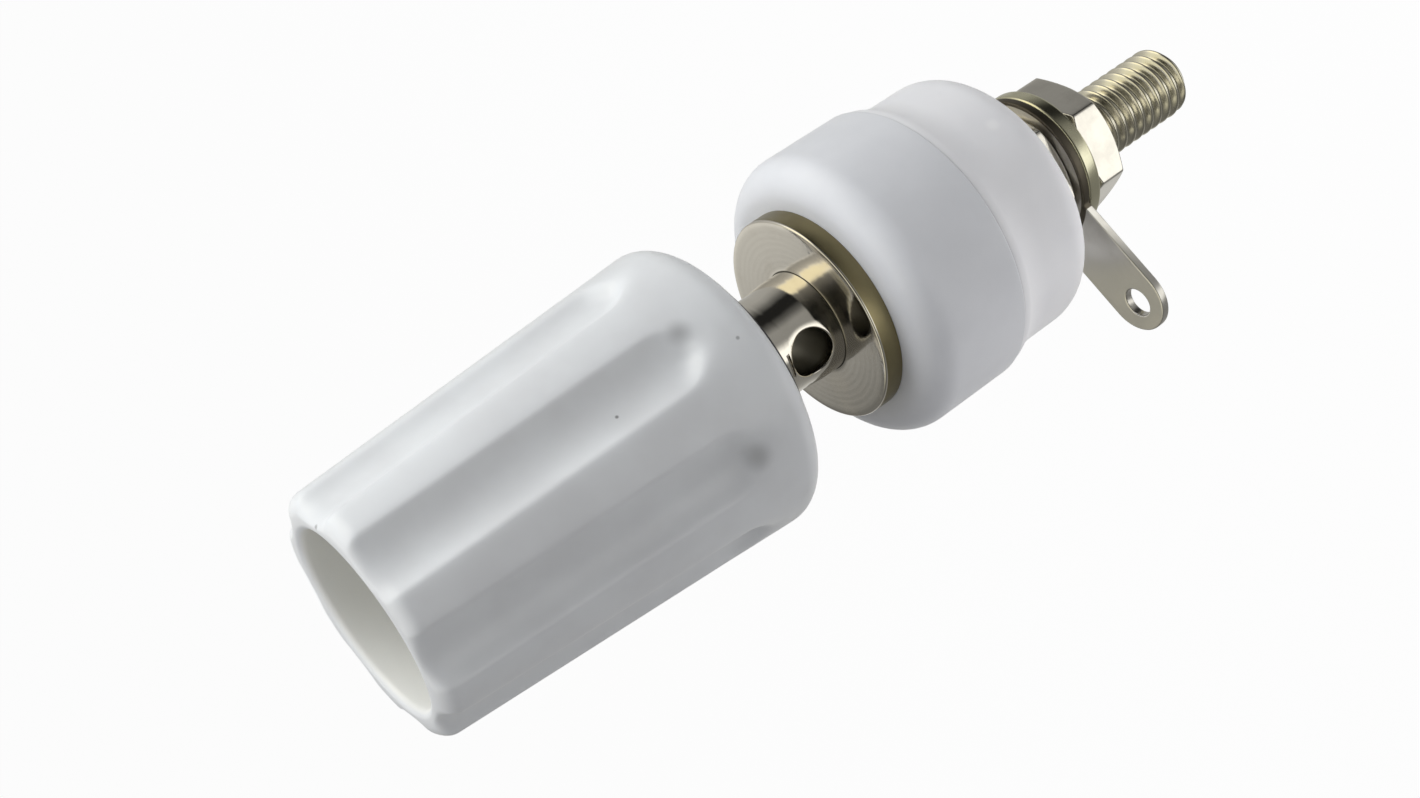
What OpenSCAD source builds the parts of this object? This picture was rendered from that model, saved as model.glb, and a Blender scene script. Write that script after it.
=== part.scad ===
// Panel binding post for 4 mm plugs and bare wire, with an M4 stud and a solder lug behind the panel.
// +Z runs along the post towards the knob. Z = 0 is the panel seat: the rear face of the front insulator.

/* [Terminal post] */
// Outside diameter of the rear stud's thread
stud_d = 4; // [3:0.1:5]
// Length of the stud behind the panel seat
stud_len = 19.5; // [18.6:0.1:26]
// Chamfer round the stud's tip
stud_chamfer = 0.5; // [0.1:0.05:0.8]
// Diameter of the clamping flange
flange_d = 11.25; // [9:0.05:13]
// Thickness of the clamping flange
flange_t = 1.15; // [0.6:0.05:2]
// Chamfer round the flange's front edge
flange_chamfer = 0.12; // [0.05:0.01:0.3]
// Diameter of the short hub in front of the flange
hub_d = 5.6; // [5.5:0.05:6.6]
// Length of the hub
hub_h = 1.6; // [0.2:0.05:3.5]
// Diameter of the plain neck
neck_d = 5.4; // [4.8:0.05:5.6]
// Length of the plain neck, from the flange's front face
neck_len = 6; // [4:0.1:8]
// Outside diameter of the threaded sleeve that carries the knob
sleeve_d = 7; // [6.4:0.1:8]
// Length of the threaded sleeve
sleeve_len = 13; // [11:0.1:14]
// Chamfer round the sleeve's front end
sleeve_chamfer = 0.4; // [0.1:0.05:0.6]
// Bore of the plug socket
socket_d = 4; // [3:0.05:4.6]
// Depth of the plug socket
socket_depth = 13; // [8:0.1:14]
// Depth of the lead-in cone at the socket's mouth
socket_lead_in = 0.35; // [0.1:0.05:0.5]
// Diameter of the wire hole through the neck
wire_hole_d = 2.4; // [1:0.1:3]
// Height of the wire hole's centre over the flange's front face
wire_hole_h = 1.9; // [1.9:0.05:3]

/* [Knob] */
// Length of the knob cap
knob_len = 21.2; // [19:0.1:26]
// Diameter over the lands at the cap's front end
knob_front_d = 12.8; // [12.6:0.1:14]
// Diameter over the lands at the cap's rear end
knob_rear_d = 15.4; // [14.6:0.1:18]
// Radius of the cap's rear edge
knob_rear_round = 1.3; // [0.4:0.05:1.6]
// Radius of the cap's front edge
knob_front_round = 0.9; // [0.3:0.05:0.95]
// Diameter of the cap's mouth
mouth_d = 9.6; // [8.4:0.1:9.8]
// Radius round the inside of the mouth
mouth_round = 0.4; // [0.1:0.05:0.5]
// Number of flutes round the cap
flute_count = 8; // [4:1:10]
// Radius of each flute's section
flute_r = 2.4; // [1.6:0.1:4]
// Depth of each flute
flute_depth = 0.75; // [0.3:0.05:1]
// Plain length between the flutes and the cap's rear face
flute_margin = 2.7; // [2:0.1:6]
// Turn of the flutes about the axis
knob_turn = 2.7; // [0:0.1:45]
// Gap between the flange and the knob insert as the knob stands open
knob_open = 5.1; // [0:0.05:10]

/* [Knob insert] */
// Outside diameter of the insert's barrel
insert_d = 10.4; // [10.1:0.1:10.8]
// Length of the insert's barrel inside the cap
insert_len = 9.5; // [7:0.1:11]
// Diameter of the insert's clamping flange
insert_flange_d = 11.8; // [11:0.1:12.6]
// Thickness of the insert's clamping flange
insert_flange_t = 1; // [0.6:0.05:1.6]
// Height of that flange proud of the cap
insert_proud = 0.5; // [0.2:0.05:0.6]
// Width of the keying groove round the barrel
key_groove_w = 1.6; // [0.8:0.1:3]
// Depth of the keying groove
key_groove_depth = 0.45; // [0.2:0.05:0.6]
// Chamfer on the insert's edges
insert_chamfer = 0.25; // [0.1:0.05:0.4]

/* [Insulators] */
// Outside diameter of the front insulator
front_ins_d = 15.7; // [14:0.1:18]
// Height of the front insulator
front_ins_h = 6.3; // [5:0.1:9]
// Radius of the front insulator's front edge
front_ins_round = 1.7; // [0.5:0.1:2.1]
// Radius of both insulators' edges where they meet
seam_round = 0.35; // [0.1:0.05:0.5]
// Outside diameter of the spigot that fills the panel hole
spigot_d = 9.8; // [8:0.1:11]
// Length of the spigot
spigot_len = 3.5; // [2:0.1:4]
// Step from the front insulator's side in to the rear insulator's rim
rear_rim_step = 0.15; // [0:0.05:0.4]
// Outside diameter of the rear insulator behind its rim
rear_ins_d = 14.5; // [13.6:0.1:15.2]
// Height of the rear insulator
rear_ins_h = 6; // [5:0.1:8]
// Radius of the rear insulator's rear edge
rear_ins_round = 1.8; // [0.5:0.1:2.2]
// Thickness of the rear insulator's rim
rear_rim_t = 0.4; // [0.4:0.1:1.5]
// Length over which the rim falls to the narrower body
rim_fall = 1.9; // [0.5:0.1:2.2]

/* [Rear fasteners] */
// Width across flats of both nuts
nut_af = 6.9; // [6:0.1:8]
// Thickness of both nuts
nut_t = 2.3; // [1.9:0.1:2.5]
// Width of the chamfer between each nut's face and its flats
nut_chamfer = 0.15; // [0.05:0.01:0.25]
// Slope of that chamfer against the nut's face
nut_chamfer_angle = 30; // [15:1:35]
// Depth of the lead-in cone at both ends of each nut's hole
nut_lead_in = 0.25; // [0.05:0.05:0.4]
// Turn of the inner nut
inner_nut_turn = 22; // [0:1:59]
// Turn of the outer nut
outer_nut_turn = 17; // [0:1:59]
// Outside diameter of the washer
washer_d = 8.3; // [7:0.1:10]
// Thickness of the washer
washer_t = 0.9; // [0.4:0.05:1]
// Outside diameter of the solder lug's eyelet
lug_eye_d = 8.3; // [7.4:0.1:9]
// Thickness of the solder lug
lug_t = 0.5; // [0.3:0.05:0.6]
// Width of the solder lug's tail
lug_tail_w = 3.9; // [3:0.1:5]
// Reach of the tail's tip from the post's axis
lug_reach = 10.8; // [10:0.1:16]
// Diameter of the wire eye in the tail
lug_hole_d = 1.6; // [1:0.1:2]
// Distance from the tail's tip to the centre of the wire eye
lug_hole_inset = 1.65; // [1.4:0.05:3]
// Turn of the solder lug about the post's axis
lug_turn = 224; // [0:1:359]

/* [Fits] */
// Radial clearance of the threaded insert on the post's sleeve
thread_clearance = 0.05; // [0.02:0.01:0.09]
// Radial clearance between the cap and its insert
insert_clearance = 0.03; // [0.02:0.01:0.08]
// Radial clearance of each nut on the stud
nut_clearance = 0.05; // [0.02:0.01:0.09]
// Radial clearance of the loose pieces on the stud
stud_clearance = 0.15; // [0.05:0.05:0.3]
// Clearance of the spigot in the rear insulator, round it and past its end
spigot_clearance = 0.2; // [0.1:0.05:0.4]

/* [Hidden] */

$fn = 96;
overlap = 1;  // how far cutters run past the faces that they cut

rear_rim_d = front_ins_d - 2 * rear_rim_step;

// Heights along the post
flange_z = front_ins_h + flange_t;
wire_z = flange_z + wire_hole_h;
sleeve_z = flange_z + neck_len;
post_end_z = sleeve_z + sleeve_len;
insert_z = flange_z + knob_open;
cap_z = insert_z + insert_proud;
insert_end_z = insert_z + insert_flange_t + insert_len;
cap_end_z = cap_z + knob_len;
inner_nut_z = -rear_ins_h - nut_t;
lug_z = inner_nut_z - lug_t;
washer_z = lug_z - washer_t;
outer_nut_z = washer_z - nut_t;

// Slope of the cap's side, and where its flutes end
cap_slope = atan((knob_rear_d - knob_front_d) / 2 / knob_len);
flute_end_z = cap_z + flute_margin + flute_r;
function cap_r(z) = knob_rear_d / 2 - (z - cap_z) * tan(cap_slope);
front_fillet_r = cap_r(cap_end_z - knob_front_round) - knob_front_round / cos(cap_slope);

// The keying groove lies at the middle of the insert's barrel
groove_z = insert_z + insert_flange_t + (insert_len - key_groove_w) / 2;
lug_hole_x = lug_reach - lug_hole_inset;

// A round bar with both ends chamfered, from z0 to z1
module bar(d, z0, z1, lower = 0, upper = 0) {
    rotate_extrude()
        polygon([[0, z0], [d / 2 - lower, z0], [d / 2, z0 + lower],
                 [d / 2, z1 - upper], [d / 2 - upper, z1], [0, z1]]);
}

// A round hole along Z
module hole(d, z0, z1) {
    translate([0, 0, z0]) cylinder(d = d, h = z1 - z0);
}

// What a fillet of radius r takes off a square corner at the origin that fills the lower left quarter
module corner_waste(r) {
    difference() {
        translate([-r, -r]) square(r + overlap);
        translate([-r, -r]) circle(r);
    }
}

// The same for a corner whose side leans in by an angle; the origin is at the fillet's centre
module leaning_waste(r, lean) {
    reach = 2 * r + overlap;
    difference() {
        polygon([[0, 0], reach * [cos(lean), sin(lean)], reach * [1, 1], [0, reach]]);
        circle(r);
    }
}

// A hexagonal nut with both faces chamfered to a circle a little inside its flats
module hex_nut(z0, turn) {
    nut_hole_d = stud_d + 2 * nut_clearance;
    corner_d = nut_af / cos(30);
    face_r = nut_af / 2 - nut_chamfer;
    cone_r = corner_d / 2 + overlap / 4;
    cone_h = (cone_r - face_r) * tan(nut_chamfer_angle);
    color("silver")
    difference() {
        intersection() {
            translate([0, 0, z0]) rotate(turn) cylinder(d = corner_d, h = nut_t, $fn = 6);
            rotate_extrude()
                polygon([[0, z0], [face_r, z0], [cone_r, z0 + cone_h],
                         [cone_r, z0 + nut_t - cone_h], [face_r, z0 + nut_t], [0, z0 + nut_t]]);
        }
        hole(nut_hole_d, z0 - overlap, z0 + nut_t + overlap);
        translate([0, 0, z0]) cylinder(d1 = nut_hole_d + 2 * nut_lead_in, d2 = nut_hole_d, h = nut_lead_in);
        translate([0, 0, z0 + nut_t - nut_lead_in])
            cylinder(d1 = nut_hole_d, d2 = nut_hole_d + 2 * nut_lead_in, h = nut_lead_in);
    }
}

// One flute: a round groove parallel to the cap's side, with a ball end towards the rear
module flute_cutter() {
    translate([cap_r(flute_end_z) + flute_r - flute_depth, 0, flute_end_z]) rotate([0, -cap_slope, 0]) {
        cylinder(r = flute_r, h = knob_len);
        sphere(flute_r);
    }
}

// The moulded cap: a tapered, fluted shell with the insert's pocket behind its mouth
module knob_cap() {
    color("white")
    difference() {
        rotate_extrude() difference() {
            polygon([[0, cap_z], [knob_rear_d / 2, cap_z], [knob_front_d / 2, cap_end_z], [0, cap_end_z]]);
            translate([knob_rear_d / 2, cap_z]) mirror([0, 1]) corner_waste(knob_rear_round);
            translate([front_fillet_r, cap_end_z - knob_front_round]) leaning_waste(knob_front_round, cap_slope);
            translate([mouth_d / 2, cap_end_z]) mirror([1, 0]) corner_waste(mouth_round);
        }
        for (i = [0 : flute_count - 1]) rotate(knob_turn + i * 360 / flute_count) flute_cutter();
        hole(mouth_d, insert_end_z - overlap, cap_end_z + overlap);
        cap_pocket();
    }
}

// The space that the insert fills inside the cap, with the ring of plastic that keys its groove left standing
module cap_pocket() {
    difference() {
        union() {
            hole(insert_d + 2 * insert_clearance, cap_z - overlap, insert_end_z);
            hole(insert_flange_d + 2 * insert_clearance, cap_z - overlap, insert_z + insert_flange_t);
        }
        difference() {
            hole(insert_d + overlap, groove_z + insert_clearance, groove_z + key_groove_w - insert_clearance);
            hole(insert_d - 2 * key_groove_depth + 2 * insert_clearance, groove_z - overlap,
                 groove_z + key_groove_w + overlap);
        }
    }
}

// The knob's metal bush, with the flange that clamps a wire
module knob_insert() {
    color("silver")
    difference() {
        union() {
            bar(insert_flange_d, insert_z, insert_z + insert_flange_t, lower = insert_chamfer);
            bar(insert_d, insert_z, insert_end_z, upper = insert_chamfer);
        }
        difference() {
            hole(insert_d + overlap, groove_z, groove_z + key_groove_w);
            hole(insert_d - 2 * key_groove_depth, groove_z - overlap, groove_z + key_groove_w + overlap);
        }
        hole(sleeve_d + 2 * thread_clearance, insert_z - overlap, insert_end_z + overlap);
    }
}

// The turned post: sleeve with its plug socket, neck with the wire hole, flange and rear stud
module terminal_post() {
    color("silver")
    difference() {
        union() {
            bar(sleeve_d, sleeve_z, post_end_z, lower = sleeve_chamfer, upper = sleeve_chamfer);
            bar(neck_d, flange_z - overlap / 2, sleeve_z + overlap);
            bar(hub_d, flange_z - overlap / 2, flange_z + hub_h);
            bar(flange_d, front_ins_h, flange_z, upper = flange_chamfer);
            bar(stud_d, -stud_len, front_ins_h + overlap / 2, lower = stud_chamfer);
        }
        hole(socket_d, post_end_z - socket_depth, post_end_z + overlap);
        translate([0, 0, post_end_z - socket_lead_in])
            cylinder(d1 = socket_d, d2 = socket_d + 2 * socket_lead_in, h = socket_lead_in);
        translate([0, 0, wire_z]) rotate([90, 0, 0]) cylinder(d = wire_hole_d, h = sleeve_d, center = true);
    }
}

// The insulator in front of the panel, with the spigot that centres it in the panel's hole
module front_insulator() {
    color("white")
    difference() {
        union() {
            rotate_extrude() difference() {
                square([front_ins_d / 2, front_ins_h]);
                translate([front_ins_d / 2, front_ins_h]) corner_waste(front_ins_round);
                translate([front_ins_d / 2, 0]) mirror([0, 1]) corner_waste(seam_round);
            }
            bar(spigot_d, -spigot_len, overlap, lower = seam_round);
        }
        hole(stud_d + 2 * stud_clearance, -spigot_len - overlap, front_ins_h + overlap);
    }
}

// The insulator behind the panel: a rimmed cup that takes the spigot's end
module rear_insulator() {
    rim_r = rear_rim_d / 2;
    body_r = rear_ins_d / 2;
    fall_r = ((rim_r - body_r) ^ 2 + rim_fall ^ 2) / (2 * (rim_r - body_r));
    color("white")
    difference() {
        rotate_extrude() difference() {
            translate([0, -rear_ins_h]) square([rim_r, rear_ins_h]);
            translate([rim_r, 0]) corner_waste(seam_round);
            // the hollow curve from the rim down to the body, and the straight side behind it
            intersection() {
                translate([body_r + fall_r, -rear_rim_t - rim_fall]) circle(fall_r);
                translate([body_r, -rear_rim_t - rim_fall]) square([rim_r, rim_fall]);
            }
            translate([body_r, -rear_ins_h - overlap])
                square([rim_r, rear_ins_h + overlap - rear_rim_t - rim_fall]);
            translate([body_r, -rear_ins_h]) mirror([0, 1]) corner_waste(rear_ins_round);
        }
        hole(stud_d + 2 * stud_clearance, -rear_ins_h - overlap, overlap);
        hole(spigot_d + 2 * spigot_clearance, -spigot_len - spigot_clearance, overlap);
    }
}

module inner_nut() {
    hex_nut(inner_nut_z, inner_nut_turn);
}

module outer_nut() {
    hex_nut(outer_nut_z, outer_nut_turn);
}

// The stamped solder lug: an eyelet on the stud and a round-ended tail with a wire eye
module solder_lug() {
    tail_end_x = lug_reach - lug_tail_w / 2;
    color("silver")
    difference() {
        rotate(lug_turn) {
            translate([0, 0, lug_z]) cylinder(d = lug_eye_d, h = lug_t);
            translate([0, -lug_tail_w / 2, lug_z]) cube([tail_end_x, lug_tail_w, lug_t]);
            translate([tail_end_x, 0, lug_z]) cylinder(d = lug_tail_w, h = lug_t);
        }
        hole(stud_d + 2 * stud_clearance, lug_z - overlap, lug_z + lug_t + overlap);
        rotate(lug_turn) translate([lug_hole_x, 0, 0]) hole(lug_hole_d, lug_z - overlap, lug_z + lug_t + overlap);
    }
}

module washer() {
    color("silver")
    difference() {
        bar(washer_d, washer_z, washer_z + washer_t, lower = washer_t / 8, upper = washer_t / 8);
        hole(stud_d + 2 * stud_clearance, washer_z - overlap, washer_z + washer_t + overlap);
    }
}

knob_cap();
knob_insert();
terminal_post();
front_insulator();
rear_insulator();
inner_nut();
solder_lug();
washer();
outer_nut();
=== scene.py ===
import bmesh
import bpy
import numpy as np
from mathutils import Matrix, Vector


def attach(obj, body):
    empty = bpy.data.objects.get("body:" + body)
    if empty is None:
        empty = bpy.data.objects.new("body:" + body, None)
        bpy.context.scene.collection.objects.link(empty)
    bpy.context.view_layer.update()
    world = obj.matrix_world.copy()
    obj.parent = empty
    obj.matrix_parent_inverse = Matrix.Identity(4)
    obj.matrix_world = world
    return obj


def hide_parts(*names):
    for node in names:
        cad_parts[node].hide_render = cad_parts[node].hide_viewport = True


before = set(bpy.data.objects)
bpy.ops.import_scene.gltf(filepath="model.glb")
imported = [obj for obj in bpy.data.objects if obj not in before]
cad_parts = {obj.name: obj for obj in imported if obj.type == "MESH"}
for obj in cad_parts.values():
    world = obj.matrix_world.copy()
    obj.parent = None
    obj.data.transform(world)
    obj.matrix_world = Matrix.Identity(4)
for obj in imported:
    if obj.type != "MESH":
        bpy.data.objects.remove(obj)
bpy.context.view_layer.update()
mm = 0.001
tau = 2 * np.pi


def addObject(name, data):
    made = bpy.data.objects.new(name, data)
    bpy.context.scene.collection.objects.link(made)
    return made


viewSettings = {
    "position": (45.915, -72.073, 51.959),  # mm
    "right": (-0.29332, -0.58734, -0.75432),
    "up": (0.81585, 0.25751, -0.51776),
    "back": (0.49834, -0.76728, 0.40365),
    "lens": 48.833,
    "sensor": 36,
    "shift": (-0.0018, 0.0034),
    "clip": (0.005, 20),  # m
}


def makeCamera(s):  # right, up and back are the columns of its matrix
    data = bpy.data.cameras.new("viewCamera")
    data.lens, data.sensor_width = s["lens"], s["sensor"]
    data.shift_x, data.shift_y = s["shift"]
    data.clip_start, data.clip_end = s["clip"]
    camera = addObject("viewCamera", data)
    turn = Matrix((s["right"], s["up"], s["back"])).transposed().to_4x4()
    camera.matrix_world = Matrix.Translation([v * mm for v in s["position"]]) @ turn
    bpy.context.scene.camera = camera


makeCamera(viewSettings)
print("camera set")


class Value:  # wraps an output socket, so that an expression on it adds its Math nodes
    def __init__(self, tree, socket):
        self.tree, self.socket = tree, socket

    def node(self, kind, settings=None, inputs=None, output=0):
        made = self.tree.nodes.new(kind)
        for name, value in (settings or {}).items():
            if name == "stops":  # a colour ramp starts with two, and the others are added
                for i, (place, tone) in enumerate(value):
                    stop = made.color_ramp.elements[i] if i < 2 else made.color_ramp.elements.new(place)
                    stop.position, stop.color = place, (*tone, 1)
            else:
                setattr(made, name, value)
        for name, value in (inputs or {}).items():
            if isinstance(value, Value):
                self.tree.links.new(value.socket, made.inputs[name])
            else:
                made.inputs[name].default_value = value
        return Value(self.tree, made.outputs[output])

    def maths(self, operation, *others, flipped=False):
        parts = [self, *others]
        if flipped:
            parts = parts[::-1]
        return self.node("ShaderNodeMath", {"operation": operation}, dict(enumerate(parts)))

    def __add__(self, other):
        return self.maths("ADD", other)

    def __radd__(self, other):
        return self.maths("ADD", other, flipped=True)

    def __sub__(self, other):
        return self.maths("SUBTRACT", other)

    def __rsub__(self, other):
        return self.maths("SUBTRACT", other, flipped=True)

    def __mul__(self, other):
        return self.maths("MULTIPLY", other)

    def __rmul__(self, other):
        return self.maths("MULTIPLY", other, flipped=True)

    def sin(self):
        return self.maths("SINE")

    def sqrt(self):
        return self.maths("SQRT")

    def steps(self, low, high):  # 0 below low, 1 above high, smooth between them
        return self.node("ShaderNodeMapRange", {"interpolation_type": "SMOOTHSTEP"},
                         {0: self, 1: low, 2: high, 3: 0.0, 4: 1.0})

    def band(self, low, high, fade):  # 1 from low + fade to high, 0 below low and past high + fade, in mm
        rise = self.steps(low * mm, (low + fade) * mm)
        return rise * (1 - self.steps(high * mm, (high + fade) * mm))

    def noise(self, scale, detail, roughness):
        return self.node("ShaderNodeTexNoise", None,
                         {"Vector": self, "Scale": scale, "Detail": detail, "Roughness": roughness})

    def blend(self, first, second):  # the first colour where this is 0, the second where it is 1
        first, second = [c if isinstance(c, Value) else (*c, 1) for c in (first, second)]
        return self.node("ShaderNodeMix", {"data_type": "RGBA", "blend_type": "MIX"},
                         {0: self, 6: first, 7: second}, output=2)

    def parts(self):  # x, y and z of a vector
        first = self.node("ShaderNodeSeparateXYZ", None, {0: self})
        return [Value(self.tree, output) for output in first.socket.node.outputs]


def startMaterial(name, constants):
    material = bpy.data.materials.new(name)
    material.use_nodes = True
    tree = material.node_tree
    shader = tree.nodes["Principled BSDF"]
    for socket, value in constants.items():
        shader.inputs[socket].default_value = value
    return material, tree, shader


def objectCoords(tree):
    return Value(tree, tree.nodes.new("ShaderNodeTexCoord").outputs["Object"])


def fromAxis(coords):  # the distance from the axis, sqrt(x * x + y * y), and the height z, in metres
    x, y, z = coords.parts()
    return (x * x + y * y).sqrt(), z


def feed(shader, colour, roughness, height, strength):  # a height of 1 stands bumpDepth out
    bumpDepth = 0.03 * mm
    normal = height.node("ShaderNodeBump", None,
                         {"Strength": strength, "Distance": bumpDepth, "Height": height})
    for name, value in (("Base Color", colour), ("Roughness", roughness), ("Normal", normal)):
        value.tree.links.new(value.socket, shader.inputs[name])


# a noise is (scale per metre, detail, roughness), and what follows it says how much it does
plasticGrain = {
    "cloud": (260.0, 3.0, 0.5), "cloudFrom": 0.35, "cloudTo": 0.70, "cloudRough": 0.08,
    "fine": (2600.0, 2.0, 0.6), "fineRough": 0.10, "relief": (900.0, 2.0, 0.5),
    "constants": {"IOR": 1.5, "Subsurface Weight": 0.12, "Subsurface Scale": 0.0012,
                  "Subsurface Radius": (1.0, 0.95, 0.9)},
}
plasticSettings = {
    # painted light: the knob's inside tone is a paler, warmer colour standing in for light on the mouth's
    # wall
    "knobPlastic": {"colour": (0.735, 0.75, 0.76), "shade": (0.69, 0.70, 0.71), "roughness": 0.32,
                    "grain": 0.06, "inside": (0.86, 0.86, 0.82), "insideR": 4.8, "insideFade": 0.2},
    "frontPlastic": {"colour": (0.75, 0.76, 0.785), "shade": (0.715, 0.725, 0.75), "roughness": 0.40,
                     "grain": 0.10},
    # painted light: rearPlastic is painted paler than frontPlastic, standing in for the brighter, flatter
    # light on the rear insulator's sides
    "rearPlastic": {"colour": (0.89, 0.89, 0.905), "shade": (0.855, 0.855, 0.875), "roughness": 0.42,
                    "grain": 0.12},
}


def plastic(name, specksAndShade=()):
    # two shades mixed by a cloudy noise; each speck, a dust grain, a mark or a painted shade, mixes in a
    # grey tone within full, fading out to none
    s = {**plasticGrain, **plasticSettings[name]}
    material, tree, shader = startMaterial(name, s["constants"])
    coords = objectCoords(tree)
    cloudy = coords.noise(*s["cloud"]).steps(s["cloudFrom"], s["cloudTo"])
    fine = coords.noise(*s["fine"])
    colour = cloudy.blend(s["colour"], s["shade"])
    if "inside" in s:  # painted light: the mouth's wall is painted paler and warmer, standing in for light that comes through it from behind
        radius = fromAxis(coords)[0]
        insideLitMask = 1 - radius.steps(s["insideR"] * mm, (s["insideR"] + s["insideFade"]) * mm)
        colour = insideLitMask.blend(colour, s["inside"])
    for place, full, none, share, tone in specksAndShade:
        gap = coords.node("ShaderNodeVectorMath", {"operation": "DISTANCE"},
                          {0: coords, 1: [v * mm for v in place]}, output=1)
        spot = 1 - gap.steps(full * mm, none * mm)
        colour = (spot * share).blend(colour, (tone, tone, tone))
    rough = s["roughness"] + cloudy * s["cloudRough"] + (fine - 0.5) * s["fineRough"]
    feed(shader, colour, rough, coords.noise(*s["relief"]), s["grain"])
    return material


metalGrain = {
    "blotch": (420.0, 4.0, 0.6), "blotchFrom": 0.42, "blotchTo": 0.72, "blotchShare": 0.45,
    "blotchRough": 0.12, "fine": (3200.0, 3.0, 0.6), "fineHeight": 0.35, "wander": (9000.0, 2.0, 0.5),
    "wanderPhase": 3.0, "waveHeight": 0.5, "ringsFrom": (2.05, 2.15), "grain": 0.16, "zoneFade": 0.05,
}
# rings is the tool marks' spacing in mm; a zone is radii, heights, colour, added roughness: most zones are
# painted shade, a darker, duller colour where shade or a dark reflection falls, and the stud's zone is its
# own warmer tone
metalSettings = {
    "turnedNickel": {
        "colour": (0.72, 0.69, 0.63), "stain": (0.62, 0.58, 0.51), "roughness": 0.09,
        "rings": 0.34, "ringDepth": 0.11, "shadeAndToneZones": [
            ((5.5, 5.8), (6.2, 7.30), (0.25, 0.215, 0.12), 0.25),  # painted shade: the flange's rim, darkened for the dark reflection it shows
            ((-1, 2.45), (7.9, 10.7), (0.20, 0.19, 0.16), 0.2),  # painted shade: the wire hole's wall, darkened inside the hole
            ((2.6, 2.83), (7.35, 7.46), (0.07, 0.065, 0.05), 0.2),  # painted shade: the crease at the foot of the hub
            ((5.4, 6.0), (12.4, 13.7), (0.09, 0.09, 0.10), 0.2),  # painted shade: the rim of the knob's insert, darkened where it lies in the gap at the knob's rear
            ((-1, 2.05), (-20, -4), (0.71, 0.68, 0.57), 0.07)]},  # the stud
    "nutNickel": {
        "colour": (0.74, 0.715, 0.66), "stain": (0.60, 0.57, 0.53), "roughness": 0.15,
        "rings": 0.10, "ringDepth": 0.12, "shadeAndToneZones": []},
    "lugTin": {
        "colour": (0.65, 0.635, 0.60), "stain": (0.51, 0.49, 0.45), "roughness": 0.28,
        "shadeAndToneZones": [((3.95, 4.3), (-9.4, -8.2), (0.13, 0.115, 0.09), 0.15)]},  # painted shade: the edge of the eye, darkened where it lies between the nut and the washer
    "washerNickel": {
        "colour": (0.66, 0.64, 0.48), "stain": (0.50, 0.48, 0.34), "roughness": 0.22,
        "rings": 0.09, "ringDepth": 0.3, "shadeAndToneZones": []},
}


def metal(name):
    # blotches of stain and a fine grain; where there are rings, tool marks run round the axis, as waves of
    # sin(tau * (radius + height) / rings + wander), with none as far in as the stud
    s = {**metalGrain, **metalSettings[name]}
    material, tree, shader = startMaterial(name, {"Metallic": 1.0})
    coords = objectCoords(tree)
    radius, z = fromAxis(coords)
    blotch = coords.noise(*s["blotch"]).steps(s["blotchFrom"], s["blotchTo"])
    colour = (blotch * s["blotchShare"]).blend(s["colour"], s["stain"])
    height = coords.noise(*s["fine"]) * s["fineHeight"]
    if "rings" in s:
        along = coords.node("ShaderNodeCombineXYZ", None, {0: radius, 1: z, 2: 0.0})
        wander = along.noise(*s["wander"])
        phase = (radius + z) * (tau / (s["rings"] * mm)) + wander * s["wanderPhase"]
        marks = phase.sin() * s["waveHeight"] + wander
        height = height + marks * radius.steps(*[r * mm for r in s["ringsFrom"]]) * s["ringDepth"]
    rough = s["roughness"] + blotch * s["blotchRough"]
    # painted shade: every zone but the stud's darkens the colour where shade or a dark reflection falls
    for radii, heights, tone, rougher in s["shadeAndToneZones"]:
        zone = radius.band(*radii, s["zoneFade"]) * z.band(*heights, s["zoneFade"])
        colour = zone.blend(colour, tone)
        rough = rough + zone * rougher
    feed(shader, colour, rough, height, s["grain"])
    return material


def finishPiece(mesh, material, body, node):
    # points closer than weldGap become one, edges shorter than tinyEdge go, and all faces look outwards
    weldGap, tinyEdge = 2e-7, 1e-8  # m
    work = bmesh.new()
    work.from_mesh(mesh)
    bmesh.ops.remove_doubles(work, verts=work.verts, dist=weldGap)
    bmesh.ops.dissolve_degenerate(work, edges=work.edges, dist=tinyEdge)
    bmesh.ops.recalc_face_normals(work, faces=work.faces)
    work.to_mesh(mesh)
    work.free()
    mesh.materials.append(material)
    piece = addObject(mesh.name, mesh)
    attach(piece, body)
    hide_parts(node)
    print("made", mesh.name, len(mesh.polygons), "faces")


def joinGrids(name, grids, material, body, node):
    # joins point grids, each of shape (rows, columns, 3) in mm, into one closed piece:
    # cell (i, j) is the quad of points (i, j), (i+1, j), (i+1, j+1), (i, j+1)
    points, faces, start = [], [], 0
    for grid in grids:
        rows, columns = grid.shape[:2]
        index = np.arange(rows * columns).reshape(rows, columns) + start
        quads = np.stack([index[:-1, :-1], index[1:, :-1], index[1:, 1:], index[:-1, 1:]], -1)
        points.append(grid.reshape(-1, 3))
        faces.append(quads.reshape(-1, 4))
        start += rows * columns
    mesh = bpy.data.meshes.new(name)
    mesh.from_pydata((np.concatenate(points) * mm).tolist(), [], np.concatenate(faces).tolist())
    mesh.polygons.foreach_set("use_smooth", np.ones(len(mesh.polygons), bool))
    finishPiece(mesh, material, body, node)


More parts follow.
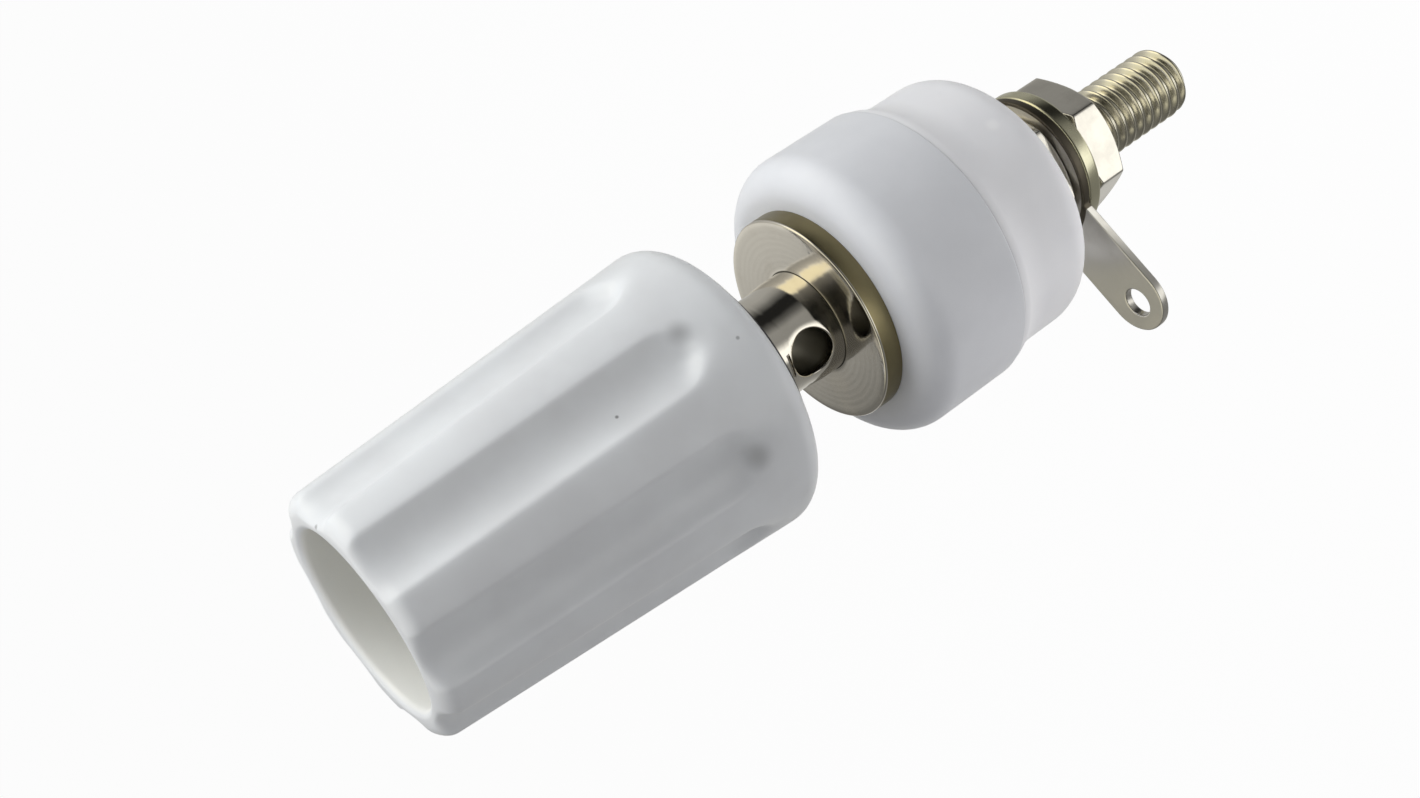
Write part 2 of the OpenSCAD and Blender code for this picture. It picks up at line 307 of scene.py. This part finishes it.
def roundedPath(corners, steps=8, spacing=0.35, closed=True):
    # corners (r, z, rounding) become a dense path: each corner is cut back by rounding / tan(half its
    # angle) and bridged by an arc of steps, and straight stretches are divided about every spacing
    path = []
    count = len(corners)
    for i, (r, z, rounding) in enumerate(corners):
        here = np.array([r, z], float)
        if rounding <= 0 or (not closed and i in (0, count - 1)):
            path.append(here[None, :])
            continue
        before = np.array(corners[i - 1][:2], float) - here
        after = np.array(corners[(i + 1) % count][:2], float) - here
        before, after = before / np.hypot(*before), after / np.hypot(*after)
        half = np.arccos(np.clip(before @ after, -1, 1)) / 2
        cut, out = rounding / np.tan(half), rounding / np.sin(half)
        middle = (before + after) / np.hypot(*(before + after))
        centre = here + middle * out
        first, last = here + before * cut - centre, here + after * cut - centre
        sweep = np.arctan2(first[0] * last[1] - first[1] * last[0], first @ last)
        angle = np.arctan2(first[1], first[0]) + sweep * np.linspace(0, 1, steps + 1)
        path.append(centre + rounding * np.stack([np.cos(angle), np.sin(angle)], -1))
    if closed:
        path.append(path[0][:1])
    dense = []
    for one, two in zip(path[:-1], path[1:]):
        dense.append(one)
        gap = np.hypot(*(two[0] - one[-1]))
        pieces = max(1, int(np.ceil(gap / spacing)))
        share = np.linspace(0, 1, pieces + 1)[1:-1, None]
        dense.append(one[-1] * (1 - share) + two[0] * share)
    dense.append(path[-1])
    return np.concatenate(dense)


def turned(path, columns, warp=None):
    # carries an (r, z) path round the axis: x = r cos a, y = r sin a; warp(a, r, z) may change r
    angle, r, z = np.broadcast_arrays(np.linspace(0, tau, columns + 1)[:, None], path[:, 0], path[:, 1])
    if warp:
        r = warp(angle, r, z)
    grid = np.stack([r * np.cos(angle), r * np.sin(angle), z], -1)
    grid[-1] = grid[0]
    return grid


def lesser(one, two, blend):  # the smaller of two values, with the crossing rounded over about blend
    return 0.5 * (one + two - np.sqrt((one - two) ** 2 + blend ** 2))


def drawnIn(r, inner, outer, shaped):  # past inner, r moves in proportion, so that outer comes to shaped
    return np.where(r > inner, inner + (r - inner) / (outer - inner) * (shaped - inner), r)


knob = {
    "rearZ": 13.05, "length": 21.2, "frontR": 6.4, "rearR": 7.7, "rearRound": 1.3, "frontRound": 0.9,
    "mouthR": 4.8, "mouthRound": 0.4, "barrelR": 5.23, "barrelTop": 23.05,
    "pocketR": 5.93, "pocketTop": 13.55, "pocketRound": 0.05,
    "flutes": 8, "fluteR": 2.4, "fluteDepth": 0.75, "fluteMargin": 2.7, "fluteTurn": 2.7, "edgeBlend": 0.16,
    "plainMargin": 2.4, "sinkZ": 16.7, "sinkDepth": 0.22, "sinkWidth": 0.75,
    "steps": 10, "spacing": 0.25, "columns": 384,
    # place, radius of the full tone, outer radius, share, tone
    "specksAndShade": [
        ((5.5, -0.12, 34.25), 0.06, 0.2, 0.6, 0.13),  # grains of dust in the skin
        ((4.46, -4.75, 21.24), 0.04, 0.12, 0.75, 0.13),
        ((4.98, -5.74, 14.73), 0.04, 0.13, 0.55, 0.13),
        ((6.05, -4.29, 16.67), 0.0, 0.85, 0.36, 0.13),  # painted shade: the ends of two flutes, darkened in colour where their hollows face away from the light
        ((0.08, -7.28, 16.61), 0.0, 0.95, 0.42, 0.13)],
}


def makeKnob(s):
    frontZ = s["rearZ"] + s["length"]
    slope = (s["rearR"] - s["frontR"]) / s["length"]
    fluteEnd = s["rearZ"] + s["fluteMargin"] + s["fluteR"]

    def fluted(angle, r, z):
        # crest = the cone's radius; groove = distance along the ray to a cylinder of radius fluteR that
        # runs parallel to the cone, with a ball end; radius = the rounded lesser of the two
        crest = s["rearR"] - (z - s["rearZ"]) * slope
        step = tau / s["flutes"]
        turn = (angle - np.radians(s["fluteTurn"]) + step / 2) % step - step / 2
        middle = crest + s["fluteR"] - s["fluteDepth"]
        past = np.clip(fluteEnd - z, 0, s["fluteR"])
        reach = s["fluteR"] ** 2 - past ** 2 - (middle * np.sin(turn)) ** 2
        groove = middle * np.cos(turn) - np.sqrt(np.clip(reach, 0, None))
        shaped = lesser(crest, groove, s["edgeBlend"])
        # a shallow sink at the groove's rear end: depth * exp(-(distance / width)^2)
        far = (z - s["sinkZ"]) ** 2 + (crest * turn) ** 2
        shaped = shaped - s["sinkDepth"] * np.exp(-far / s["sinkWidth"] ** 2)
        moved = drawnIn(r, s["mouthR"] + s["mouthRound"], crest, shaped)
        return np.where(z > s["rearZ"] + s["plainMargin"], moved, r)

    path = roundedPath([
        (s["rearR"], s["rearZ"], s["rearRound"]), (s["frontR"], frontZ, s["frontRound"]),
        (s["mouthR"], frontZ, s["mouthRound"]), (s["mouthR"], s["barrelTop"], 0),
        (s["barrelR"], s["barrelTop"], 0), (s["barrelR"], s["pocketTop"], 0),
        (s["pocketR"], s["pocketTop"], 0), (s["pocketR"], s["rearZ"], s["pocketRound"])],
        s["steps"], s["spacing"])
    joinGrids("knobCap", [turned(path, s["columns"], fluted)], plastic("knobPlastic", s["specksAndShade"]),
              "cap", "knob_cap")


makeKnob(knob)

insert = {
    "rearZ": 12.56, "flangeR": 5.9, "flangeT": 0.99, "barrelR": 5.2, "topZ": 23.05, "boreR": 3.55,
    "boreRound": 0.25, "rearRound": 0.15, "frontRound": 0.05, "topRound": 0.2,
    "steps": 6, "spacing": 0.3, "columns": 160,
}


def makeInsert(s):  # a flanged tube
    flangeTop = s["rearZ"] + s["flangeT"]
    path = roundedPath([
        (s["boreR"], s["rearZ"], s["boreRound"]), (s["flangeR"], s["rearZ"], s["rearRound"]),
        (s["flangeR"], flangeTop, s["frontRound"]), (s["barrelR"], flangeTop, 0),
        (s["barrelR"], s["topZ"], s["topRound"]), (s["boreR"], s["topZ"], s["topRound"])],
        s["steps"], s["spacing"])
    joinGrids("knobInsert", [turned(path, s["columns"])], metal("turnedNickel"),
              "insert", "knob_insert")


makeInsert(insert)

# in shares of the pitch; cutShare is the cut's share of the mix and turnSteps the rows in one turn
thread = {"crestWide": 0.125, "rootWide": 0.25, "cutDepth": 0.613, "waveDepth": 0.5, "cutShare": 0.3,
          "turnSteps": 16}
post = {
    "studR": 2.0, "studPitch": 0.7, "tipZ": -19.5, "tipChamfer": 0.5, "studRunout": 0.4,
    "flangeR": 5.625, "flangeRear": 6.3, "flangeFront": 7.45, "rearRound": 0.06, "frontRound": 0.12,
    "hubR": 2.8, "hubTop": 9.05, "hubEdge": 1.0, "hubRound": 0.03,
    "neckR": 2.7, "holeR": 1.2, "holeZ": 9.35, "holeEdge": 0.07, "patchLow": 8.1, "patchHigh": 10.6,
    "patchGap": 0.01, "sleeveR": 3.5, "sleevePitch": 0.75, "sleeveLow": 13.45, "sleeveHigh": 26.45,
    "sleeveRunout": 0.5, "sleeveChamfer": 0.4, "socketR": 2.0, "leadIn": 0.35,
    "steps": 5, "spacing": 0.25, "socketSpacing": 0.8, "columns": 96, "tipRows": 5,
}


def threaded(angle, z, crest, pitch):
    # a right-hand thread: phase = z / pitch - a / tau, brought to 1 at a crest's middle and 0 at a root's;
    # a cut has flat crests and roots with straight flanks between, a wave is (1 + cos) / 2, and
    # radius = crest - (cutShare * cut + (1 - cutShare) * wave)
    t = thread
    phase = np.abs((z / pitch - angle / tau) % 1 - 0.5) * 2
    flank = (1 - t["crestWide"] - phase) / (1 - t["crestWide"] - t["rootWide"])
    cut = np.clip(flank, 0, 1) * t["cutDepth"] * pitch
    wave = (0.5 + 0.5 * np.cos(phase * np.pi)) * t["waveDepth"] * pitch  # plating fills the root
    return crest - (t["cutShare"] * cut + (1 - t["cutShare"]) * wave)


def threadBar(low, high, crest, pitch, lowCut, highCut, columns):
    # rows climb with the helix, z = low + (row + a / tau) * pitch held between low and high, so the last
    # column of one row meets the first column of the row one turn on; the ends are chamfered by the cuts
    perTurn = thread["turnSteps"]
    angle = np.linspace(0, tau, columns + 1)[:, None]
    rows = int(np.ceil((high - low) / pitch * perTurn)) + perTurn
    row = (np.arange(rows + 1) / perTurn - 1)[None, :]
    z = np.clip(low + (row + angle / tau) * pitch, low, high)
    r = threaded(angle, z, crest, pitch)
    r = np.minimum(r, np.minimum(crest - lowCut + (z - low), crest - highCut + (high - z)))
    return np.stack([r * np.cos(angle), r * np.sin(angle), z], -1)


def ringTo(edge, target, rows=2):  # carries a ring of points in or out to one radius and height
    angle = np.arctan2(edge[:, 1], edge[:, 0])
    r, z = target
    goal = np.stack([r * np.cos(angle), r * np.sin(angle), np.full_like(angle, z)], -1)
    share = np.linspace(0, 1, rows)[None, :, None]
    return edge[:, None] * (1 - share) + goal[:, None] * share


def neckPatches(s, rise=12, rows=9):
    # half of the neck on each side, as rings that grow from the wire hole to a rectangle of the unrolled
    # neck: a point is (angle, height), with the hole's edge at angle = asin(x / neckR)
    half = s["columns"] // 2
    low, high, quarter = s["patchLow"], s["patchHigh"], np.pi / 2
    across = np.linspace(-quarter, quarter, half + 1)
    up = np.linspace(low, high, rise + 1)
    edge = np.concatenate([
        np.stack([np.full(rise, quarter), up[:-1]], -1),
        np.stack([across[::-1][:-1], np.full(half, high)], -1),
        np.stack([np.full(rise, -quarter), up[::-1][:-1]], -1),
        np.stack([across[:-1], np.full(half, low)], -1),
        [[quarter, low]]])
    way = np.arctan2((edge[:, 1] - s["holeZ"]) / ((high - low) / 2), edge[:, 0] / quarter)
    lowest = low - s["holeZ"] + s["patchGap"]
    rings, depths = [], []
    # the hole's rounded edge: how far out and how far in, as shares of holeEdge
    for out, sink in ((0, 1), (0.3, 0.3), (1, 0)):
        radius = s["holeR"] + s["holeEdge"] * out
        x, z = radius * np.cos(way), s["holeZ"] + np.maximum(radius * np.sin(way), lowest)
        rings.append(np.stack([np.arcsin(x / s["neckR"]), z], -1))
        depths.append(s["holeEdge"] * sink)
    last = rings[-1]
    for share in np.linspace(0, 1, rows)[1:]:
        rings.append(last * (1 - share) + edge * share)
        depths.append(0.0)
    rings, depths = np.stack(rings, 1), np.array(depths)[None, :]
    angle, z = rings[..., 0], rings[..., 1]
    # the hub's radius falls to the neck's over hubEdge, centred on hubTop
    fall = np.clip((s["hubTop"] - z) / s["hubEdge"] + 0.5, 0, 1)
    wall = s["neckR"] + (s["hubR"] - s["neckR"]) * fall
    x, y = wall * np.sin(angle), -(wall * np.cos(angle) - depths)
    front = np.stack([x, y, z], -1)
    back = front * np.array([-1, -1, 1])
    # the hole's wall joins the inner ring of one side to that of the other
    mirrored = np.stack([x[:, 0], -y[:, 0], z[:, 0]], -1)
    share = np.linspace(0, 1, rows)[None, :, None]
    tube = front[:, 0][:, None] * (1 - share) + mirrored[:, None] * share
    return [front, back, tube]


def makePost(s):  # the grids meet ring on ring, from the stud's tip up to the sleeve and down its socket
    columns, spacing = s["columns"], s["spacing"]
    mouthR = s["socketR"] + s["leadIn"]
    stud = threadBar(s["tipZ"], s["flangeRear"], s["studR"], s["studPitch"],
                     s["tipChamfer"], s["studRunout"], columns)
    tip = ringTo(stud[:, 0], (0, s["tipZ"]), s["tipRows"])
    flange = turned(roundedPath([
        (s["studR"] - s["studRunout"], s["flangeRear"], 0), (s["flangeR"], s["flangeRear"], s["rearRound"]),
        (s["flangeR"], s["flangeFront"], s["frontRound"]), (s["hubR"], s["flangeFront"], s["hubRound"]),
        (s["hubR"], s["patchLow"], 0)], s["steps"], spacing, closed=False), columns)
    joint = np.stack([stud[:, -1], flange[:, 0]], 1)
    neck = turned(roundedPath([(s["neckR"], s["patchHigh"], 0), (s["neckR"], s["sleeveLow"], 0)],
                              spacing=spacing, closed=False), columns)
    sleeve = threadBar(s["sleeveLow"], s["sleeveHigh"], s["sleeveR"], s["sleevePitch"],
                       s["sleeveRunout"], s["sleeveChamfer"], columns)
    shoulder = np.stack([neck[:, -1], sleeve[:, 0]], 1)
    front = ringTo(sleeve[:, -1], (mouthR, s["sleeveHigh"]))
    socket = turned(roundedPath([
        (mouthR, s["sleeveHigh"], 0), (s["socketR"], s["sleeveHigh"] - s["leadIn"], 0),
        (s["socketR"], s["sleeveLow"], 0), (0, s["sleeveLow"], 0)],
        spacing=s["socketSpacing"], closed=False), columns)
    grids = [tip, stud, joint, flange, *neckPatches(s), neck, shoulder, sleeve, front, socket]
    joinGrids("terminalPost", grids, metal("turnedNickel"), "post", "terminal_post")


makePost(post)

bush = {"seamRound": 0.14, "boreR": 2.15, "steps": 12, "columns": 192}
frontBush = {
    **bush, "sideR": 7.85, "height": 6.3, "frontRound": 1.7,
    "spigotR": 4.9, "spigotLength": 3.5, "spigotRound": 0.25, "footRound": 0.02,
}
rearBush = {
    **bush, "rimR": 7.7, "rimT": 0.4, "sideR": 7.25, "fall": 1.9, "fallRows": 9, "height": 6.0,
    "rearRound": 1.8, "pocketR": 5.1, "pocketDepth": 3.7,
    # a pale moulding mark: place, radius of the full tone, outer radius, share, tone
    "specksAndShade": [((5.96, -4.12, -3.64), 0.1, 0.5, 0.6, 0.98)],
}


def makeFrontBush(s):  # a round block on the panel, with a spigot below
    path = roundedPath([
        (s["boreR"], -s["spigotLength"], 0), (s["spigotR"], -s["spigotLength"], s["spigotRound"]),
        (s["spigotR"], 0, s["footRound"]), (s["sideR"], 0, s["seamRound"]),
        (s["sideR"], s["height"], s["frontRound"]), (s["boreR"], s["height"], 0)], s["steps"])
    joinGrids("frontInsulator", [turned(path, s["columns"])], plastic("frontPlastic"),
              "post", "front_insulator")


def makeRearBush(s):
    # the side sweeps out to the rim in an arc: r = side + hollow - sqrt(hollow^2 - h^2), with h up from the
    # side, and hollow, the arc's radius, = (drop^2 + fall^2) / (2 * drop)
    drop = s["rimR"] - s["sideR"]
    hollow = (drop ** 2 + s["fall"] ** 2) / (2 * drop)
    h = np.linspace(0, s["fall"], s["fallRows"])
    curve = s["sideR"] + hollow - np.sqrt(hollow ** 2 - h ** 2)
    low = -s["rimT"] - s["fall"]
    corners = [(s["boreR"], -s["height"], 0), (s["sideR"], -s["height"], s["rearRound"])]
    corners += [(r, low + up, 0) for r, up in zip(curve.tolist(), h.tolist())]
    corners += [(s["rimR"], 0, s["seamRound"]), (s["pocketR"], 0, 0), (s["pocketR"], -s["pocketDepth"], 0),
                (s["boreR"], -s["pocketDepth"], 0)]
    path = roundedPath(corners, s["steps"])
    joinGrids("rearInsulator", [turned(path, s["columns"])], plastic("rearPlastic", s["specksAndShade"]),
              "rear_bush", "rear_insulator")


makeFrontBush(frontBush)
makeRearBush(rearBush)

nut = {
    "thick": 2.3, "flats": 6.9, "chamfer": 0.15, "boreR": 2.05, "boreChamfer": 0.25, "cornerCut": 0.01,
    "cornerBlend": 0.04, "edgeBlend": 0.03, "rimHigh": 0.5, "rimStep": 0.1,
    "rimRows": 12, "sideRows": 5, "faceRows": 6, "columns": 360,
}
innerNut = {**nut, "low": -8.3, "turn": 22}
outerNut = {**nut, "low": -12.0, "turn": 17}
washer = {"low": -9.7, "thick": 0.9, "sideR": 4.15, "sideRound": 0.2, "boreR": 2.15, "boreRound": 0.05,
          "steps": 6, "columns": 160}


def makeNut(name, s, body, node):
    low, high = s["low"], s["low"] + s["thick"]
    inner = s["boreR"] + s["boreChamfer"]
    faceR = s["flats"] / 2 - s["chamfer"]
    corner = s["flats"] / 2 / np.cos(np.pi / 6)

    def hexagon(angle, r, z):
        # flat = half the flats over the cosine of the angle from the nearest flat's middle;
        # cone = faceR plus the distance from the face times the cotangent of 30 degrees
        turn = (angle - np.radians(s["turn"])) % (tau / 6) - tau / 12
        flat = lesser(s["flats"] / 2 / np.cos(turn), corner - s["cornerCut"], s["cornerBlend"])
        cone = faceR + np.minimum(z - low, high - z) / np.tan(np.pi / 6)
        return drawnIn(r, inner, corner, lesser(flat, cone, s["edgeBlend"]))

    rim = np.linspace(0, s["rimHigh"], s["rimRows"])  # rows stand close where the cone cuts the corners
    clear = s["rimHigh"] + s["rimStep"]
    middle = np.linspace(clear, s["thick"] - clear, s["sideRows"])
    rise = low + np.concatenate([rim, middle, s["thick"] - rim[::-1]])
    out = np.linspace(inner, corner, s["faceRows"], endpoint=False)
    side = np.stack([np.full_like(rise, corner), rise], -1)
    bottom = np.stack([out, np.full_like(out, low)], -1)
    top = np.stack([out[::-1], np.full_like(out, high)], -1)
    bore = [[s["boreR"], high - s["boreChamfer"]], [s["boreR"], low + s["boreChamfer"]], [inner, low]]
    path = np.concatenate([bottom, side, top, bore])
    joinGrids(name, [turned(path, s["columns"], hexagon)], metal("nutNickel"), body, node)


def makeWasher(s):  # a flat ring
    high = s["low"] + s["thick"]
    path = roundedPath([
        (s["boreR"], s["low"], s["boreRound"]), (s["sideR"], s["low"], s["sideRound"]),
        (s["sideR"], high, s["sideRound"]), (s["boreR"], high, s["boreRound"])], s["steps"])
    joinGrids("washerRing", [turned(path, s["columns"])], metal("washerNickel"),
              "washer", "washer")


makeNut("innerNut", innerNut, "inner_nut", "inner_nut")
makeNut("outerNut", outerNut, "outer_nut", "outer_nut")
makeWasher(washer)

lug = {
    "low": -8.79, "thick": 0.48, "eyeR": 4.15, "boreR": 2.15, "tailWidth": 3.9, "reach": 10.8,
    "holeR": 0.8, "holeInset": 1.65, "turn": 224, "edge": 0.07,
    "eyePoints": 72, "tipPoints": 28, "holePoints": 48, "edgeSteps": 2,
}


def circle(centre, radius, angle):  # points (centre + radius cos a, radius sin a)
    return np.stack([centre + radius * np.cos(angle), radius * np.sin(angle)], -1)


def makeLug(s):  # a flat outline with two holes, filled, given its thickness and a small round edge
    half = s["tailWidth"] / 2
    meet = np.arcsin(half / s["eyeR"])
    ring = np.linspace(0, tau, s["holePoints"], endpoint=False)
    outline = np.concatenate([
        circle(0, s["eyeR"], np.linspace(meet, tau - meet, s["eyePoints"])),
        circle(s["reach"] - half, half, np.linspace(-np.pi / 2, np.pi / 2, s["tipPoints"]))])
    holes = [circle(0, s["boreR"], ring), circle(s["reach"] - s["holeInset"], s["holeR"], ring)]
    curve = bpy.data.curves.new("lugOutline", "CURVE")
    curve.dimensions, curve.fill_mode = "2D", "BOTH"
    curve.extrude, curve.offset = (s["thick"] / 2 - s["edge"]) * mm, -s["edge"] * mm
    curve.bevel_depth, curve.bevel_resolution = s["edge"] * mm, s["edgeSteps"]
    turn = np.radians(s["turn"])
    for loop in (outline, *holes):
        x = loop[:, 0] * np.cos(turn) - loop[:, 1] * np.sin(turn)
        y = loop[:, 0] * np.sin(turn) + loop[:, 1] * np.cos(turn)
        spline = curve.splines.new("POLY")
        spline.points.add(len(loop) - 1)
        spline.points.foreach_set("co", np.stack([x * mm, y * mm, 0 * x, 0 * x + 1], -1).ravel())
        spline.use_cyclic_u = True
    shape = addObject("lugOutline", curve)
    bpy.context.view_layer.update()
    mesh = bpy.data.meshes.new_from_object(shape.evaluated_get(bpy.context.evaluated_depsgraph_get()))
    bpy.data.objects.remove(shape)
    mesh.name = "solderLug"
    mesh.transform(Matrix.Translation((0, 0, (s["low"] + s["thick"] / 2) * mm)))
    finishPiece(mesh, metal("lugTin"), "lug", "solder_lug")


makeLug(lug)

studio = {
    "floorZ": -60.0, "floorSize": 16000.0, "floorColour": (0.86, 0.86, 0.86), "floorRough": 0.9,
    "floorWhite": 0.96, "worldColour": (0.345, 0.345, 0.3519), "white": (1.0, 1.0, 1.0),
    "lamps": [  # name, place (mm), aim (mm), size (mm), power (W), colour
        ("keyLamp", (70, 25, 50), (0, 0, 18), 64, 0.0425, (0.985, 1.0, 0.995)),
        ("topLamp", (70, 20, 260), (0, 0, 7), 200, 0.29, (0.98, 0.99, 1.0)),
        ("sideLamp", (-24, -27, -38), (-4, -5, -5), 40, 0.012, (1.0, 0.99, 1.0)),
    ],
    # what bare metal sees: the room all round below and above the horizon (degrees about Z, tone as a share
    # of roomLevel), and cards (direction, first and full cosine, tone)
    "roomLevel": 1.8, "horizon": 0.15,
    "below": [
        (-180, 0.17), (-150, 0.14), (-112, 0.14), (-102, 0.80), (-82, 0.86), (-75, 0.56), (-68, 0.26),
        (-62, 0.18), (-40, 0.19), (-26, 0.07), (-12, 0.01), (10, 0.01), (24, 0.10), (36, 0.19), (50, 0.25),
        (96, 0.27), (130, 0.35), (150, 0.35), (165, 0.22), (180, 0.17)],
    "above": [
        (-180, 0.07), (-118, 0.07), (-106, 0.0), (-40, 0.0), (-24, 0.04), (0, 0.14), (8, 0.30), (14, 0.90),
        (38, 0.90), (48, 0.50), (60, 0.36), (84, 0.26), (104, 0.46), (116, 0.44), (121, 0.30), (127, 0.10),
        (156, 0.10), (180, 0.07)],
    "belowTint": (1.0, 0.99, 0.94), "aboveTint": (1.0, 0.985, 0.93),
    "cards": [
        ((0.0, 0.0, 1.0), 0.55, 0.80, (1.0, 0.96, 0.76)),
        ((0.83, 0.39, 0.404), 0.93, 0.985, (1.60, 1.47, 1.06)),
    ],
}


def makeFloor(s):  # a square sheet: near white to the camera, paper to the lamps, clear to mirror rays
    half, z = s["floorSize"] / 2 * mm, s["floorZ"] * mm
    mesh = bpy.data.meshes.new("studioFloor")
    mesh.from_pydata([(-half, -half, z), (half, -half, z), (half, half, z), (-half, half, z)], [],
                     [(0, 1, 2, 3)])
    material, tree, shader = startMaterial("floorPaper", {
        "Roughness": s["floorRough"], "Base Color": (*s["floorColour"], 1)})
    path = tree.nodes.new("ShaderNodeLightPath")
    seen, glossy = Value(tree, path.outputs["Is Camera Ray"]), Value(tree, path.outputs["Is Glossy Ray"])
    paper = Value(tree, shader.outputs[0])
    white = seen.node("ShaderNodeEmission", None, {"Color": (*s["white"], 1)})
    clear = seen.node("ShaderNodeBsdfTransparent")
    mix = seen.node("ShaderNodeMixShader", None, {0: seen * s["floorWhite"], 1: paper, 2: white})
    mix = seen.node("ShaderNodeMixShader", None, {0: glossy, 1: mix, 2: clear})
    tree.links.new(mix.socket, tree.nodes["Material Output"].inputs["Surface"])
    mesh.materials.append(material)
    addObject("studioFloor", mesh)


def makeWorld(s):
    # white to the camera, an even light on the pieces, and for the metal a room whose walls are ramps over
    # turn = atan2(y, x) / tau + 1/2
    world = bpy.data.worlds.new("studioWorld")
    world.use_nodes = True
    bpy.context.scene.world = world
    tree = world.node_tree
    path = tree.nodes.new("ShaderNodeLightPath")
    seen, glossy = Value(tree, path.outputs["Is Camera Ray"]), Value(tree, path.outputs["Is Glossy Ray"])
    way = Value(tree, tree.nodes.new("ShaderNodeTexCoord").outputs["Generated"])
    x, y, z = way.parts()
    turn = y.maths("ARCTAN2", x) * (1 / tau) + 0.5
    walls = []
    for name in ("below", "above"):
        stops = [(place / 360 + 0.5, [tone * part for part in s[name + "Tint"]]) for place, tone in s[name]]
        walls.append(turn.node("ShaderNodeValToRGB", {"stops": stops}, {0: turn}))
    room = z.steps(-s["horizon"], s["horizon"]).blend(*walls)
    room = way.node("ShaderNodeVectorMath", {"operation": "SCALE"}, {0: room, "Scale": s["roomLevel"]})
    for direction, first, full, tone in s["cards"]:
        near = way.node("ShaderNodeVectorMath", {"operation": "DOT_PRODUCT"},
                        {0: way, 1: direction}, output=1)
        room = near.steps(first, full).blend(room, tone)
    final = seen.blend(glossy.blend(s["worldColour"], room), s["white"])
    tree.links.new(final.socket, tree.nodes["Background"].inputs["Color"])


def makeLamps(s):
    for name, place, aim, size, power, colour in s["lamps"]:
        data = bpy.data.lights.new(name, "AREA")
        data.shape, data.size = "SQUARE", size * mm
        data.energy, data.color = power, colour
        lamp = addObject(name, data)
        turn = (Vector(aim) - Vector(place)).to_track_quat("-Z", "Y").to_matrix().to_4x4()
        lamp.matrix_world = Matrix.Translation([v * mm for v in place]) @ turn
        lamp.visible_camera = lamp.visible_glossy = False


makeFloor(studio)
makeWorld(studio)
makeLamps(studio)
bpy.context.scene.view_settings.view_transform = "Standard"
print("stage set")
